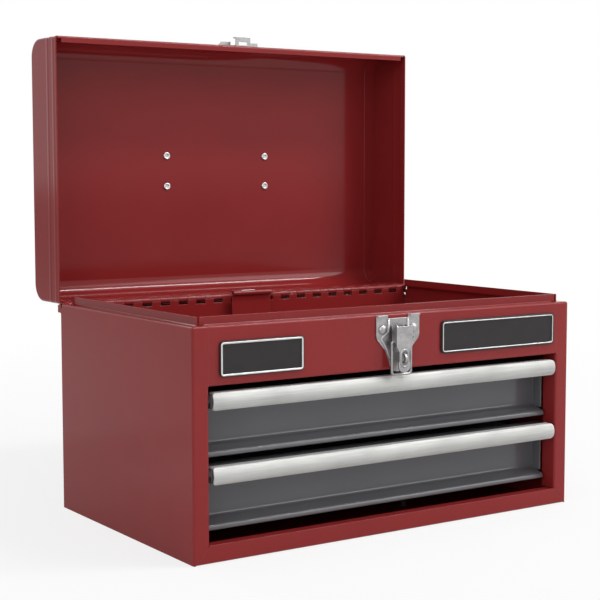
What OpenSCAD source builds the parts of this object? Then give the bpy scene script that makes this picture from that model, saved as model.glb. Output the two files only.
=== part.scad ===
// Portable tool box: folded sheet steel case, two drawers on ball slides, hinged lid.
// Millimetres, X to the right, Y to the back, Z up, origin at the middle of the base.
// Drawn with the lid open and both drawers shut.

/* [Case] */
// Width over the side panels
body_w = 410; // [360:5:520]
// Depth over front and back panels
body_d = 250; // [230:5:320]
// Height of the shoulder that the lid sits on
body_h = 194; // [180:1:240]
// Thickness of the folded sheet
sheet_t = 1.0; // [0.8:0.1:1.2]
// Outside radius of the folds
bend_r = 2.0; // [1.6:0.1:2.6]
// Width of the front columns
column_w = 15; // [12:0.5:20]
// How far the columns turn back into the case
column_d = 17; // [12:0.5:24]
// Height of the rail under the lower drawer
rail_h = 15; // [12:0.5:20]
// Height of the header above the upper drawer
header_h = 49; // [44:0.5:56]
// Width of the shoulder around the opening
shoulder_w = 8; // [7:0.5:10]
// Height of the lip above the shoulder
lip_h = 7; // [5:0.5:9]
// How far the back steps out below the hinge
gutter_d = 7; // [6:0.5:9]

/* [Lid] */
// Height of the lid
lid_h = 57; // [50:1:80]
// Radius of the long bends at front and rear
lid_r = 17; // [12:0.5:24]
// Radius of the fold around each end plate
end_bend_r = 2.5; // [2:0.1:3]
// Gap between the shoulder and the lid's rim
rim_gap = 0.4; // [0.4:0.1:1]

/* [Hinge] */
// Pitch of the hinge knuckles
knuckle_pitch = 10; // [8:1:14]
// Outside radius of the knuckles
barrel_r = 3.0; // [2.8:0.1:3.2]
// Radius of the hinge pin
pin_r = 2.15; // [1.8:0.05:2.2]
// Thickness of the hinge leaves
leaf_t = 0.8; // [0.6:0.1:1]

/* [Drawers] */
// How far the drawer fronts stand back from the columns
recess = 28; // [26:0.5:32]
// Height of the aluminium pull
pull_h = 14.5; // [13:0.5:16]
// How far the pull's front bulges
pull_bulge = 3; // [2:0.25:4]
// Height of the ledge at the foot of a drawer front
ledge_h = 12; // [11.5:0.1:14]
// Travel of a drawer
travel = 160; // [120:5:165]

/* [Slides] */
// Room between tray and carrier that a slide takes
slide_w = 10.3; // [10:0.1:11]
// Half the distance between the two rows of balls
ball_row = 10.3; // [9.8:0.1:12]
// Radius of a ball
ball_r = 1.75; // [1.5:0.05:1.8]
// Balls in a row
ball_count = 6; // [4:1:8]
// Height of the carrier's raised web
carrier_h = 34; // [32:0.5:36]

/* [Latch] */
// Width of the latch plate across its ears
latch_w = 47; // [42:0.5:54]
// Width of the lever
lever_w = 17; // [15:0.5:19]
// Height of the lever's pin below the shoulder
latch_drop = 12.5; // [11:0.5:13.5]
// Diameter of the bail's wire
wire_d = 2.4; // [1.8:0.1:2.4]

/* [Handle] */
// Distance from the middle to each handle bracket
bracket_x = 59; // [50:1:70]
// Distance from the brackets' bore to the grip
handle_reach = 36; // [32:1:44]
// Radius of the grip
grip_r = 7.5; // [6:0.1:7.5]
// Radius of the handle's rod
rod_r = 3.25; // [2.8:0.05:3.5]

/* [Hidden] */

// Paint and metal
red = [0.62, 0.15, 0.15];
inner_red = [0.5, 0.1, 0.11];
grey = [0.34, 0.34, 0.36];
alu = [0.86, 0.86, 0.85];
zinc = [0.66, 0.66, 0.67];
dark = [0.24, 0.22, 0.23];
black = [0.1, 0.1, 0.1];

// Small allowances
eps = 0.01;
seam = 0.2;
corner_gap = 2;
lap = 0.1;
fit = 0.05;
run = 0.1;

// Case
t = sheet_t;
ri = bend_r - t;
hw = body_w / 2;
hd = body_d / 2;
open_x = hw - column_w;
inner_x = hw - t - lap;
head_z = body_h - header_h;
rim_z = body_h + rim_gap;
lid_top = rim_z + lid_h;
rail_back = 12;
hem_h = 3;
flange_h = 12;
floor_z = head_z + t;
back_flange = 13;

// Hinge
axis_y = hd - t - leaf_t + barrel_r;
axis_z = body_h - 2;
knuckles = 2 * floor((body_w - 10) / (2 * knuckle_pitch));
hinge_hw = knuckles * knuckle_pitch / 2;
knuckle_gap = 0.4;
leaf_gap = 2.3;
leaf_low = axis_z - 22;
leaf_high = axis_z + 19;
notch_z = axis_z - 2.5;
gutter_top = axis_z + 1;
gutter_lip = 3.5;
gutter_slope = (gutter_d - (2 * ri + t) * (1 - cos(45))) / sin(45);
gutter_z = gutter_top - gutter_lip - (gutter_slope + 2 * ri + t) * sin(45);

// Lid
wrap_x = hw - end_bend_r - lap;
rear_cut = 0.8;

// Drawers, heights above the foot of a drawer front
pitch = (head_z - rail_h - 8) / 2;
face_h = pitch - 6;
drawer_z = [head_z - 5.5 - face_h, head_z - 5.5 - face_h - pitch];
front_x = open_x - 3;
front_y = -hd + recess;
tray_x = open_x - slide_w;
tray_y = hd - 17;
tray_top = face_h - 7.5;
pull_t = 1.25;
curl_r = 1.8;
curl_y = -hd + 3;
curl_z = face_h - pull_h + pull_t + curl_r + t + 0.15;
flange_z = face_h - pull_t - fit - t;
ledge_reach = 15.5;
ledge_turn = atan2(24, 7);
ledge_in = 4;
ledge_out = 2.5;
ledge_foot = 0.5;
ledge_slope = (ledge_reach - (1 - cos(ledge_turn)) * (ledge_in + ledge_out + t)) / sin(ledge_turn);
ledge_drop = (ledge_in + ledge_out + t) * sin(ledge_turn) + ledge_slope * cos(ledge_turn);
slide_z = face_h / 2 - 2;
hem_in = 0.2;
pull_y = -hd - 2.7;

// Slides
slide_y0 = -hd + 31;
slide_y1 = hd - 15;
slide_x = open_x - slide_w / 2;
web_s = slide_w / 2;
web_t = 1.2;
race_r = ball_r + run;
cage_len = tray_y - slide_y0 - travel;
cage_y = slide_y0 + travel / 2;
cage_t = 0.6;
cage_in = 0.3;
cage_lean = atan2(3, 4);
cage_s = 2.4;
cage_bend_x = cage_in * sin(90 - cage_lean);
cage_bend_y = cage_in * (1 - cos(90 - cage_lean));
cage_wing = (cage_s + cage_bend_y * sin(cage_lean) + cage_t / 2 * sin(cage_lean))
  / cos(cage_lean) - cage_t / 2 - cage_bend_x;
cage_web = 2 * (ball_row - (cage_t / 2 + cage_wing + cage_bend_x) * sin(cage_lean)
  - (cage_bend_y + cage_t / 2) * cos(cage_lean));
ball_step = cage_len / ball_count;
rivet_first = slide_y0 + 26;
rivet_last = tray_y - 16;
slide_rivets = [rivet_first, (rivet_first + rivet_last) / 2, rivet_last];

// Lock bar
bar_hw = 22.5;
bar_y = hd - 7.3;
bar_t = 1.2;
roll_r = 1.2;
roll_z = body_h + 1.9;
catch_z = slide_z - 6;
catch_t = 1.2;
catch_hook = 6.5;
catch_room = 1.5;
bar_low = drawer_z[1] + 10;

// Latch
plate_t = 1.2;
pin_y = -hd - 6;
pin_z = body_h - latch_drop;
lever_web = 4.8;
hook_z = body_h + 4.7;
hook_reach = 9;
bail_z = head_z - 5 + wire_d / 2;
bail_pivot_z = (hook_z + bail_z) / 2;
bail_x = lever_w / 2 + wire_d / 2 + 0.65;
lever_low = head_z - 2;
neck_z = bail_pivot_z - 4;
tongue_hw = 5.4;
spoon_r = 6.4;
heel_h = 3.9;
rivet_x = latch_w / 2 - 6.6;
rivet_z = body_h - 13.5;
staple_z = head_z + 10.5;
staple_foot = 1.2;

// Badges: distance from the side, width, height above the header's foot, height
badge_a = [24.6, 81.2, 7, 29];
badge_b = [20, 136.4, 10, 29.5];
badge_t = 2.3;
badge_rim = 2.2;
badge_deep = 1.1;

// Handle
handle_h = 8;
bracket_w = 18;
bolt_y = 15.5;

// ---------- placing and folding ----------

// A profile in Y and Z drawn out along X
module along_x(x0, x1) {
  translate([x0, 0, 0]) rotate([90, 0, 90]) linear_extrude(height = x1 - x0) children();
}

// A profile in X and Z drawn out along Y
module along_y(y0, y1) {
  translate([0, y1, 0]) rotate([90, 0, 0]) linear_extrude(height = y1 - y0) children();
}

// A plan drawn up along Z
module along_z(z0, z1) {
  translate([0, 0, z0]) linear_extrude(height = z1 - z0) children();
}

module box(a, b) {
  translate(a) cube(b - a);
}

module rod_x(x0, x1, r) {
  translate([x0, 0, 0]) rotate([0, 90, 0]) cylinder(r = r, h = x1 - x0);
}

module rod_y(y0, y1, r) {
  translate([0, y1, 0]) rotate([90, 0, 0]) cylinder(r = r, h = y1 - y0);
}

module both_sides() {
  children();
  mirror([1, 0, 0]) children();
}

module in_lid() {
  translate([0, axis_y, axis_z]) rotate([-90, 0, 0]) translate([0, -axis_y, -axis_z]) children();
}

// The bent part of a fold, with inside radius r
module ring(r, ang, th = t) {
  intersection() {
    difference() {
      circle(r = r + th);
      circle(r = r);
    }
    polygon(concat([[0, 0]],
      [for (i = [0:6]) 2 * (r + th) * [cos(ang * i / 6), sin(ang * i / 6)]]));
  }
}

// Sheet seen on edge: straight lengths, each with the turn and inside radius that end it.
// The sheet lies to the left of its path.
module fold(steps, th = t, i = 0) {
  if (i < len(steps)) {
    run_len = steps[i][0];
    turn = steps[i][1];
    r = steps[i][2];
    if (run_len > 0) square([run_len, th]);
    if (turn > 0)
      translate([run_len, th + r]) {
        rotate(-90) ring(r, turn, th);
        rotate(turn) translate([0, -th - r]) fold(steps, th, i + 1);
      }
    if (turn < 0)
      translate([run_len, -r]) {
        rotate(90 + turn) ring(r, -turn, th);
        rotate(turn) translate([0, r]) fold(steps, th, i + 1);
      }
  }
}

module round_rect(w, h, r) {
  translate([-w / 2 + r, -h / 2]) square([w - 2 * r, h]);
  translate([-w / 2, -h / 2 + r]) square([w, h - 2 * r]);
  for (x = [-1, 1], y = [-1, 1])
    translate([x * (w / 2 - r), y * (h / 2 - r)]) circle(r = r);
}

// Rivet along Y with a domed head that faces the front
module rivet(head_r, head_h, shank_r, grip, tail_r, tail_h) {
  dome_r = (head_r * head_r + head_h * head_h) / (2 * head_h);
  intersection() {
    translate([0, dome_r - head_h, 0]) sphere(r = dome_r);
    rod_y(-head_h - 1, 0, head_r);
  }
  rod_y(0, grip, shank_r);
  rod_y(grip, grip + tail_h, tail_r);
}

// ---------- case ----------

// Column, wall and top folds of the left side
module side_panel() {
  difference() {
    union() {
      along_z(0, head_z) translate([-hw, hd]) rotate(-90)
        fold([[body_d - bend_r, 90, ri], [column_w - 2 * bend_r, 90, ri],
          [column_d - bend_r, 0, 0]]);
      along_z(head_z, body_h - bend_r) translate([-hw, hd]) rotate(-90)
        fold([[body_d - bend_r, 90, ri], [column_w - bend_r, 0, 0]]);
      along_y(-hd + bend_r, hd) translate([-hw + shoulder_w - ri, body_h]) rotate(180)
        fold([[shoulder_w - ri - bend_r, 90, ri]]);
      along_y(-hd + shoulder_w, hd - shoulder_w)
        translate([-hw + shoulder_w, body_h + lip_h]) rotate(-90)
        fold([[lip_h - ri, -90, ri]]);
      box([-hw + bend_r, -hd + bend_r, body_h - t], [-open_x, -hd + shoulder_w + t, body_h]);
      along_x(-hw + bend_r, -open_x) translate([-hd + bend_r, body_h - bend_r]) rotate(90)
        ring(ri, 90);
      translate([-hw + bend_r, -hd + bend_r, body_h - bend_r]) rotate([0, 0, 180])
        rotate_extrude(angle = 90) ring(ri, 90);
    }
    along_y(-hd - 1, -hd + column_d + 1)
      polygon([[-hw + bend_r, -1], [-hw + bend_r, bend_r + seam], [-open_x, rail_h + seam],
        [-open_x + 1, rail_h + seam], [-open_x + 1, -1]]);
    box([-hw - 1, hd - leaf_t - t - 0.6, notch_z], [-open_x, hd + 1, body_h + 1]);
  }
}

module side_panel_left() {
  color(red) side_panel();
}

module side_panel_right() {
  color(red) mirror([1, 0, 0]) side_panel();
}

module bottom_panel() {
  color(red) {
    along_x(-open_x + seam, open_x - seam)
      translate([-hd + rail_back, rail_h - bend_r - hem_h]) rotate(90)
      fold([[hem_h, 90, ri], [rail_back - 2 * bend_r, 90, ri], [rail_h - 2 * bend_r, 90, ri],
        [hd + inner_x - hw - bend_r + hd - bend_r, 90, ri], [flange_h - bend_r, 0, 0]]);
    intersection() {
      along_x(-hw + bend_r, hw - bend_r) translate([-hd, rail_h]) rotate(-90)
        fold([[rail_h - bend_r, 90, ri], [4, 0, 0]]);
      along_y(-hd - 1, -hd + 8)
        polygon([[-hw + bend_r + seam, -1], [hw - bend_r - seam, -1],
          [hw - bend_r - seam, bend_r], [open_x - seam, rail_h], [-open_x + seam, rail_h],
          [-hw + bend_r + seam, bend_r]]);
    }
    along_y(-hd + bend_r + 0.5, hd - t - 1.2) translate([-inner_x, flange_h]) rotate(-90)
      fold([[flange_h - bend_r, 90, ri], [2 * inner_x - 2 * bend_r, 90, ri],
        [flange_h - bend_r, 0, 0]]);
  }
}

// Holes in the header where rivets and staple pass
module latch_holes() {
  both_sides() translate([rivet_x, 0, rivet_z]) rod_y(-hd - 4, -hd + t + 1, 2.2 + run);
  box([-1.3, -hd - 2, staple_z - 4.6], [1.3, -hd + t + 1, staple_z + 4.6]);
}

module front_header() {
  color(red) difference() {
    header_folds();
    latch_holes();
  }
}

module header_folds() {
  along_x(-open_x + seam, open_x - seam)
    translate([-hd + shoulder_w, body_h + lip_h]) rotate(-90)
    fold([[lip_h - ri, -90, ri], [shoulder_w - ri - bend_r, 90, ri],
      [header_h - 2 * bend_r, 90, ri], [11, 0, 0]]);
  both_sides() {
    box([open_x - seam - eps, -hd + shoulder_w, body_h + fit],
      [hw - shoulder_w - t - corner_gap, -hd + shoulder_w + t, body_h + lip_h]);
    box([open_x - 6, -hd + t, head_z + 3], [inner_x - 1.2, -hd + 2 * t, body_h - 3]);
  }
}

module back_profile() {
  translate([hd, 0]) rotate(90)
    fold([[gutter_z, -45, ri], [gutter_slope, 45, ri], [gutter_lip, 0, 0]]);
}

module back_panel() {
  side_low = flange_h + 2;
  side_high = gutter_z - 2;
  color(red) {
    along_x(-inner_x + bend_r, inner_x - bend_r) back_profile();
    along_z(side_low, side_high) translate([-inner_x + t, hd - back_flange]) rotate(90)
      fold([[back_flange - bend_r, -90, ri], [2 * (inner_x - bend_r), -90, ri],
        [back_flange - bend_r, 0, 0]]);
    intersection() {
      along_x(-inner_x, inner_x) back_profile();
      box([-hw, 0, side_high], [hw, body_d, body_h]);
    }
  }
}

module compartment_floor() {
  slot_hw = bar_hw + 1.5;
  back = hd - t - lap;
  color(red) difference() {
    union() {
      along_y(-hd + 2 * t + seam, back - bend_r)
        translate([-inner_x, floor_z + 10]) rotate(-90)
        fold([[10 - bend_r, 90, ri], [2 * inner_x - 2 * bend_r, 90, ri], [10 - bend_r, 0, 0]]);
      along_x(-inner_x + 14, inner_x - 14) translate([back - bend_r - 6, floor_z])
        fold([[6, 90, ri], [10 - bend_r, 0, 0]]);
    }
    box([-slot_hw, bar_y - 4, floor_z - 1], [slot_hw, hd, floor_z + 12]);
    both_sides() box([inner_x - bend_r - 1, hd - back_flange - seam, floor_z - 1],
      [hw, hd, floor_z + 12]);
  }
}

// ---------- hinge ----------

// One knuckle around the axis, with the tab that joins it to its leaf
module knuckle(side) {
  difference() {
    union() {
      circle(r = barrel_r);
      translate([-barrel_r, side > 0 ? 1 : -barrel_r - leaf_gap - eps])
        square([leaf_t, barrel_r + leaf_gap + eps - 1]);
    }
    circle(r = pin_r + fit);
  }
}

// Every second knuckle along the axis
module knuckle_row(side) {
  for (k = [0:knuckles / 2 - 1])
    along_x(-hinge_hw + (2 * k + (side > 0 ? 0 : 1)) * knuckle_pitch + knuckle_gap / 2,
      -hinge_hw + (2 * k + (side > 0 ? 1 : 2)) * knuckle_pitch - knuckle_gap / 2)
      translate([axis_y, axis_z]) knuckle(side);
}

module hinge_body_leaf() {
  color(inner_red) {
    box([-hinge_hw, hd - t - leaf_t, leaf_low],
      [hinge_hw, hd - t, axis_z - barrel_r - leaf_gap]);
    knuckle_row(-1);
  }
}

module lid_hinge_leaf() {
  color(inner_red) in_lid() {
    box([-hinge_hw, hd - t - leaf_t, axis_z + barrel_r + leaf_gap],
      [hinge_hw, hd - t, leaf_high]);
    knuckle_row(1);
  }
}

module hinge_pin() {
  color(zinc) translate([0, axis_y, axis_z])
    rod_x(-hinge_hw - 2, hw - 0.5, pin_r);
}

// ---------- badges ----------

module badge(w, h) {
  rotate([-90, 0, 0]) difference() {
    linear_extrude(height = badge_t) round_rect(w, h, 3.2);
    translate([0, 0, -eps]) linear_extrude(height = badge_deep)
      round_rect(w - 2 * badge_rim, h - 2 * badge_rim, 1.6);
  }
}

module badge_left() {
  color(dark) translate([-hw + badge_a[0] + badge_a[1] / 2, -hd - badge_t,
    head_z + badge_a[2] + badge_a[3] / 2]) badge(badge_a[1], badge_a[3]);
}

module badge_right() {
  color(dark) translate([hw - badge_b[0] - badge_b[1] / 2, -hd - badge_t,
    head_z + badge_b[2] + badge_b[3] / 2]) badge(badge_b[1], badge_b[3]);
}

// ---------- latch ----------

module latch_outline() {
  ear = latch_w / 2;
  top = body_h - 1;
  low = head_z - 2;
  polygon([[-ear + 1, top], [-12, top], [-11, top - 3], [11, top - 3], [12, top],
    [ear - 1, top], [ear, top - 1], [ear, top - 18], [ear - 1.2, top - 21.5],
    [13.4, top - 31], [9.5, top - 41], [-9.5, top - 41], [-13.4, top - 31],
    [-ear + 1.2, top - 21.5], [-ear, top - 18], [-ear, top - 1]]);
  translate([0, low + 9.5]) circle(r = 9.5);
}

module latch_plate() {
  cheek_x = lever_w / 2 - 2.1;
  color(zinc) difference() {
    union() {
      along_y(-hd - plate_t, -hd) latch_outline();
      both_sides() {
        box([12.5, -hd - 3, body_h - 2.2], [latch_w / 2 - 0.5, -hd - plate_t, body_h - 1]);
        along_x(cheek_x - 1.2, cheek_x) {
          translate([pin_y, pin_z]) circle(r = 3.1);
          translate([pin_y, pin_z - 3.1]) square([-hd - plate_t - pin_y + eps, heel_h]);
        }
      }
    }
    translate([0, pin_y, pin_z]) rod_x(-hw, hw, 1.5 + fit);
    latch_holes();
  }
}

module latch_rivets() {
  color(zinc) both_sides() translate([rivet_x, -hd - plate_t, rivet_z])
    rivet(4.3, 2.6, 2.2, plate_t + t, 3.6, 1.2);
}

module latch_staple() {
  color(zinc) difference() {
    union() {
      along_x(-1.2, 1.2) {
        translate([-hd - 9.5, staple_z]) circle(r = 4.5);
        translate([-hd - 9.5, staple_z - 4.5]) square([9.5 + t + staple_foot / 2, 9]);
      }
      box([-1.2, -hd + t, staple_z - 7], [6, -hd + t + staple_foot, staple_z + 7]);
    }
    translate([0, -hd - 9.5, staple_z]) rod_x(-3, 3, 2.6);
  }
}

module latch_pin() {
  color(zinc) translate([0, pin_y, pin_z]) rod_x(-lever_w / 2 + 0.1, lever_w / 2 - 0.1, 1.5);
}

module latch_lever() {
  side = lever_w / 2;
  web_y = pin_y - lever_web;
  color(zinc) difference() {
    union() {
      along_y(web_y, web_y + 1.2) {
        polygon([[-side, pin_z + 2], [side, pin_z + 2], [side, neck_z], [tongue_hw, neck_z - 5],
          [tongue_hw, lever_low + spoon_r], [-tongue_hw, lever_low + spoon_r],
          [-tongue_hw, neck_z - 5], [-side, neck_z]]);
        translate([0, lever_low + spoon_r]) circle(r = spoon_r);
      }
      both_sides() along_x(side - 1.2, side)
        polygon([[web_y, neck_z], [web_y, pin_z + 2], [pin_y + 1, pin_z + 2],
          [pin_y + 2.4, pin_z], [pin_y + 2.4, bail_pivot_z - 2], [web_y + 3, neck_z]]);
    }
    translate([0, pin_y, pin_z]) rod_x(-hw, hw, 1.5 + run);
    translate([0, pin_y, bail_pivot_z]) rod_x(-hw, hw, wire_d / 2 + run);
    along_y(web_y - 4, web_y + 3) {
      translate([-2.5, staple_z - 3.9]) square([5, 7.9]);
      translate([0, staple_z - 3.9]) circle(r = 2.5);
      translate([0, staple_z + 4]) circle(r = 2.5);
    }
  }
}

module latch_bail() {
  r = wire_d / 2;
  corner = 3;
  color(zinc) translate([0, pin_y, 0]) both_sides() {
    translate([0, 0, bail_pivot_z]) rod_x(lever_w / 2 - 1.9, bail_x - 1.6, r);
    translate([bail_x - 1.6, 0, bail_pivot_z - 1.6]) rotate([90, 0, 0])
      rotate_extrude(angle = 90) translate([1.6, 0]) circle(r = r);
    translate([bail_x, 0, bail_z + corner])
      cylinder(r = r, h = bail_pivot_z - 1.6 - bail_z - corner);
    translate([bail_x - corner, 0, bail_z + corner]) rotate([90, 0, 0]) rotate([0, 0, -90])
      rotate_extrude(angle = 90) translate([corner, 0]) circle(r = r);
    translate([0, 0, bail_z]) rod_x(0, bail_x - corner, r);
  }
}

module strike_plate() {
  side = latch_w / 2;
  low = rim_z + 9;
  high = rim_z + 34;
  hook = lever_w / 2;
  color(zinc) in_lid() difference() {
    union() {
      along_y(-hd - plate_t, -hd) {
        polygon([[-side, low + 2], [-side + 2, low], [side - 2, low], [side, low + 2],
          [side, high - 12], [side - 9, high], [-side + 9, high], [-side, high - 12]]);
        translate([-hook, hook_z - 2.5]) square([2 * hook, low - hook_z + 3]);
      }
      both_sides() box([hook + 2, -hd - 4.4, low], [side - 2, -hd - plate_t, low + plate_t]);
      along_x(-hook, hook) translate([-hd - hook_reach, hook_z - 2.5]) {
        square([hook_reach, plate_t]);
        square([plate_t, 5.3]);
      }
    }
    box([-5, -hd - plate_t - 3, hook_z - 3], [5, -hd - plate_t, hook_z]);
    both_sides() translate([16, 0, rim_z + 17]) rod_y(-hd - 4, -hd + 4, 2.2 + run);
  }
}

module strike_rivets() {
  color(zinc) in_lid() both_sides() translate([16, -hd - plate_t, rim_z + 17])
    rivet(4.3, 2.4, 2.2, plate_t + t, 3.6, 1.2);
}

// ---------- lid ----------

// A section (distance from the long bends' centre, X) carried over front, top and rear
module around_lid(front_cut, rear_cut) {
  y = hd - lid_r;
  z = lid_top - lid_r;
  translate([0, -y, rim_z + front_cut]) rotate([0, 0, -90])
    linear_extrude(height = lid_h - lid_r - front_cut) children();
  translate([0, -y, z]) rotate([90, 0, 90]) rotate([0, 0, 90])
    rotate_extrude(angle = 90) children();
  translate([0, -y, z]) rotate([0, -90, -90]) linear_extrude(height = 2 * y) children();
  translate([0, y, z]) rotate([90, 0, 90]) rotate_extrude(angle = 90) children();
  translate([0, y, z]) rotate([180, 0, 90])
    linear_extrude(height = lid_h - lid_r - rear_cut) children();
}

module lid_holes() {
  both_sides() {
    translate([16, 0, rim_z + 17]) rod_y(-hd - 4, -hd + 4, 2.2 + run);
    for (y = [-bolt_y, bolt_y])
      translate([bracket_x, y, lid_top - 4]) cylinder(r = 2.2 + run, h = 8);
  }
}

module lid_shell() {
  flange = 6;
  color(red) in_lid() difference() {
    union() {
      around_lid(bend_r, rear_cut) translate([lid_r - t, -wrap_x]) square([t, 2 * wrap_x]);
      along_x(-wrap_x, wrap_x) translate([-hd, rim_z + bend_r]) rotate(-90)
        fold([[0, 90, ri]]);
      along_z(rim_z, rim_z + t)
        polygon([[-wrap_x + 4, -hd + bend_r], [wrap_x - 4, -hd + bend_r],
          [wrap_x - 4, -hd + flange], [-wrap_x + 4, -hd + flange]]);
    }
    lid_holes();
  }
}

module lid_end() {
  inset = end_bend_r;
  y = hd - lid_r;
  color(red) in_lid() difference() {
    union() {
      around_lid(0, 0) {
        translate([lid_r - inset, hw - inset]) ring(inset - t, 90);
        translate([lid_r - 2 * t, hw - inset - 12]) square([t, 12.7]);
      }
      along_x(hw - t, hw) {
        translate([-hd + inset, rim_z]) square([2 * (hd - inset), lid_h - lid_r]);
        translate([-y, rim_z]) square([2 * y, lid_h - inset]);
        for (side = [-1, 1])
          translate([side * y, lid_top - lid_r]) circle(r = lid_r - inset);
      }
    }
    box([0, hd - 3 * t - 1, 0], [hw - inset, hd - t + eps, leaf_high + 1]);
    box([0, -hd - 1, rim_z - 1], [hw - inset, -hd + 8, rim_z + bend_r + 1]);
  }
}

module lid_end_left() {
  mirror([1, 0, 0]) lid_end();
}

module lid_end_right() {
  lid_end();
}

// Presses the lock bar down as the lid comes over
module lid_press_tab() {
  color(zinc) in_lid() along_x(-8, 8) translate([axis_y - barrel_r, axis_z])
    polygon([[0, 18], [0, 6.5], [-0.5, 5], [-0.5, 0.5], [-1.3, -1.6], [-2, -3.7],
      [-3.1, -3.3], [-1.8, 0.6], [-1.8, 5.2], [-1.2, 6.8], [-1.2, 18]]);
}

// ---------- handle, drawn on the closed lid ----------

module handle_brackets() {
  color(zinc) in_lid() both_sides() difference() {
    union() {
      along_z(lid_top, lid_top + 1.6) translate([bracket_x, 0])
        round_rect(bracket_w, 2 * bolt_y + 13, 3);
      along_x(bracket_x - bracket_w / 2, bracket_x + bracket_w / 2) {
        translate([0, lid_top + handle_h]) circle(r = rod_r + 2.6);
        translate([-rod_r - 2.6, lid_top]) square([2 * rod_r + 5.2, handle_h]);
      }
    }
    translate([0, 0, lid_top + handle_h]) rod_x(0, hw, rod_r + run);
    for (y = [-bolt_y, bolt_y])
      translate([bracket_x, y, lid_top - 1]) cylinder(r = 2.2 + run, h = 8);
  }
}

module handle_rivets() {
  color(zinc) in_lid() both_sides() for (y = [-bolt_y, bolt_y])
    translate([bracket_x, y, lid_top + 1.6]) rotate([-90, 0, 0])
      rivet(4, 2, 2.2, 1.6 + t, 3.8, 1.4);
}

module handle_bail() {
  corner = 6;
  in_x = bracket_x - bracket_w / 2 + 1.5;
  out_x = bracket_x + bracket_w / 2 + 1 + corner + rod_r;
  color(zinc) in_lid() translate([0, 0, lid_top + handle_h]) both_sides() {
    rod_x(in_x, out_x - corner, rod_r);
    translate([out_x - corner, corner, 0]) rotate([0, 0, -90])
      rotate_extrude(angle = 90) translate([corner, 0]) circle(r = rod_r);
    translate([out_x, 0, 0]) rod_y(corner, handle_reach - corner, rod_r);
    translate([out_x - corner, handle_reach - corner, 0])
      rotate_extrude(angle = 90) translate([corner, 0]) circle(r = rod_r);
    translate([0, handle_reach, 0]) rod_x(0, out_x - corner, rod_r);
  }
}

module handle_grip() {
  half = bracket_x + 1;
  color(black) in_lid() translate([0, handle_reach, lid_top + handle_h]) difference() {
    rod_x(-half, half, grip_r);
    rod_x(-hw, hw, rod_r + fit);
    for (k = [-4:3]) translate([k * 12 + 6, 0, 0]) rotate([0, 90, 0])
      rotate_extrude() translate([grip_r + 1.9, 0]) circle(r = 2.5);
  }
}

// ---------- drawer lock ----------

module lock_bar() {
  color(inner_red) difference() {
    union() {
      box([-bar_hw, bar_y - bar_t, bar_low], [bar_hw, bar_y, roll_z]);
      along_x(-bar_hw, bar_hw) translate([bar_y, roll_z]) rotate(90)
        fold([[0, 180, roll_r], [0, 90, roll_r]], bar_t);
      box([-8.6, bar_y - bar_t, axis_z - 0.2], [8.6, bar_y + 4.2, axis_z + 1]);
    }
    for (z = drawer_z)
      box([-12, bar_y - 2, z + catch_z - catch_room],
        [12, bar_y + 2, z + catch_z + catch_hook + catch_room]);
  }
}

module lock_bar_guides() {
  leg = bar_hw + 0.8;
  front = bar_y - bar_t - 1.6;
  color(zinc) for (z = [head_z - 11, drawer_z[0] - 16]) {
    box([-leg - 1, front, z], [leg + 1, front + 1, z + 8]);
    both_sides() {
      box([leg, front, z], [leg + 1, hd - t, z + 8]);
      box([leg, hd - 2 * t, z], [leg + 9, hd - t, z + 8]);
      box([leg - 7, bar_y + 0.6, z], [leg + eps, bar_y + 1.6, z + 8]);
    }
  }
}

module drawer_catch(row) {
  color(zinc) translate([-9, 0, drawer_z[row] + catch_z]) {
    box([0, tray_y, -11.5], [18, tray_y + catch_t, catch_t]);
    box([0, tray_y, 0], [18, bar_y + 2.1 + catch_t, catch_t]);
    box([0, bar_y + 2.1, 0], [18, bar_y + 2.1 + catch_t, catch_hook]);
  }
}

// ---------- slides ----------

module at_row(row) {
  translate([0, 0, drawer_z[row] + slide_z]) children();
}

// Hat section that carries a slide in behind the right column
module carrier(row) {
  leg = hw - open_x - 3 * t - 2 * ri;
  lug = 7;
  color(red) at_row(row) along_y(slide_y0 - 1, slide_y1) mirror([1, 0])
    translate([-hw + t, carrier_h / 2 + ri + lug]) rotate(-90)
    fold([[lug, 90, ri], [leg, -90, ri], [carrier_h - 2 * t - 2 * ri, -90, ri],
      [leg, 90, ri], [lug, 0, 0]]);
}

// Sections of the slides: first axis away from the tray, second axis up, origin between the rows
module outer_section() {
  translate([web_s - web_t, -ball_row - 0.5]) square([web_t, 2 * ball_row + 1]);
  for (side = [0, 1]) mirror([0, side]) translate([0, ball_row]) {
    rotate(-8) ring(race_r, 158, web_t);
    translate([race_r + 0.05, -0.7]) square([web_s - race_r - 0.05, 1.2]);
  }
}

module inner_section() {
  translate([-web_s, -ball_row + 0.7]) square([web_t, 2 * ball_row - 1.4]);
  for (side = [0, 1]) mirror([0, side]) translate([0, ball_row]) {
    rotate(200) ring(race_r, 90, web_t);
    translate([-web_s, -1.9]) square([web_s - race_r - 0.05, 1.2]);
  }
}

module cage_section() {
  translate([0, ball_row]) rotate(-cage_lean) translate([cage_t / 2, -cage_t / 2])
    fold([[cage_wing, cage_lean - 90, cage_in], [cage_web, cage_lean - 90, cage_in],
      [cage_wing, 0, 0]], cage_t);
}

module slide_outer(row) {
  color(zinc) at_row(row) along_y(slide_y0, slide_y1) translate([slide_x, 0]) outer_section();
}

module slide_inner(row) {
  color(zinc) difference() {
    at_row(row) along_y(slide_y0, tray_y) translate([slide_x, 0]) inner_section();
    slide_rivet_holes(row);
  }
}

module balls(row, r) {
  at_row(row) for (side = [-1, 1], k = [0:ball_count - 1])
    translate([slide_x, cage_y + (k + 0.5) * ball_step, side * ball_row]) sphere(r = r);
}

module cage(row) {
  color(zinc) difference() {
    at_row(row) along_y(cage_y, cage_y + cage_len) translate([slide_x, 0]) cage_section();
    balls(row, ball_r + 0.08);
  }
}

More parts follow.
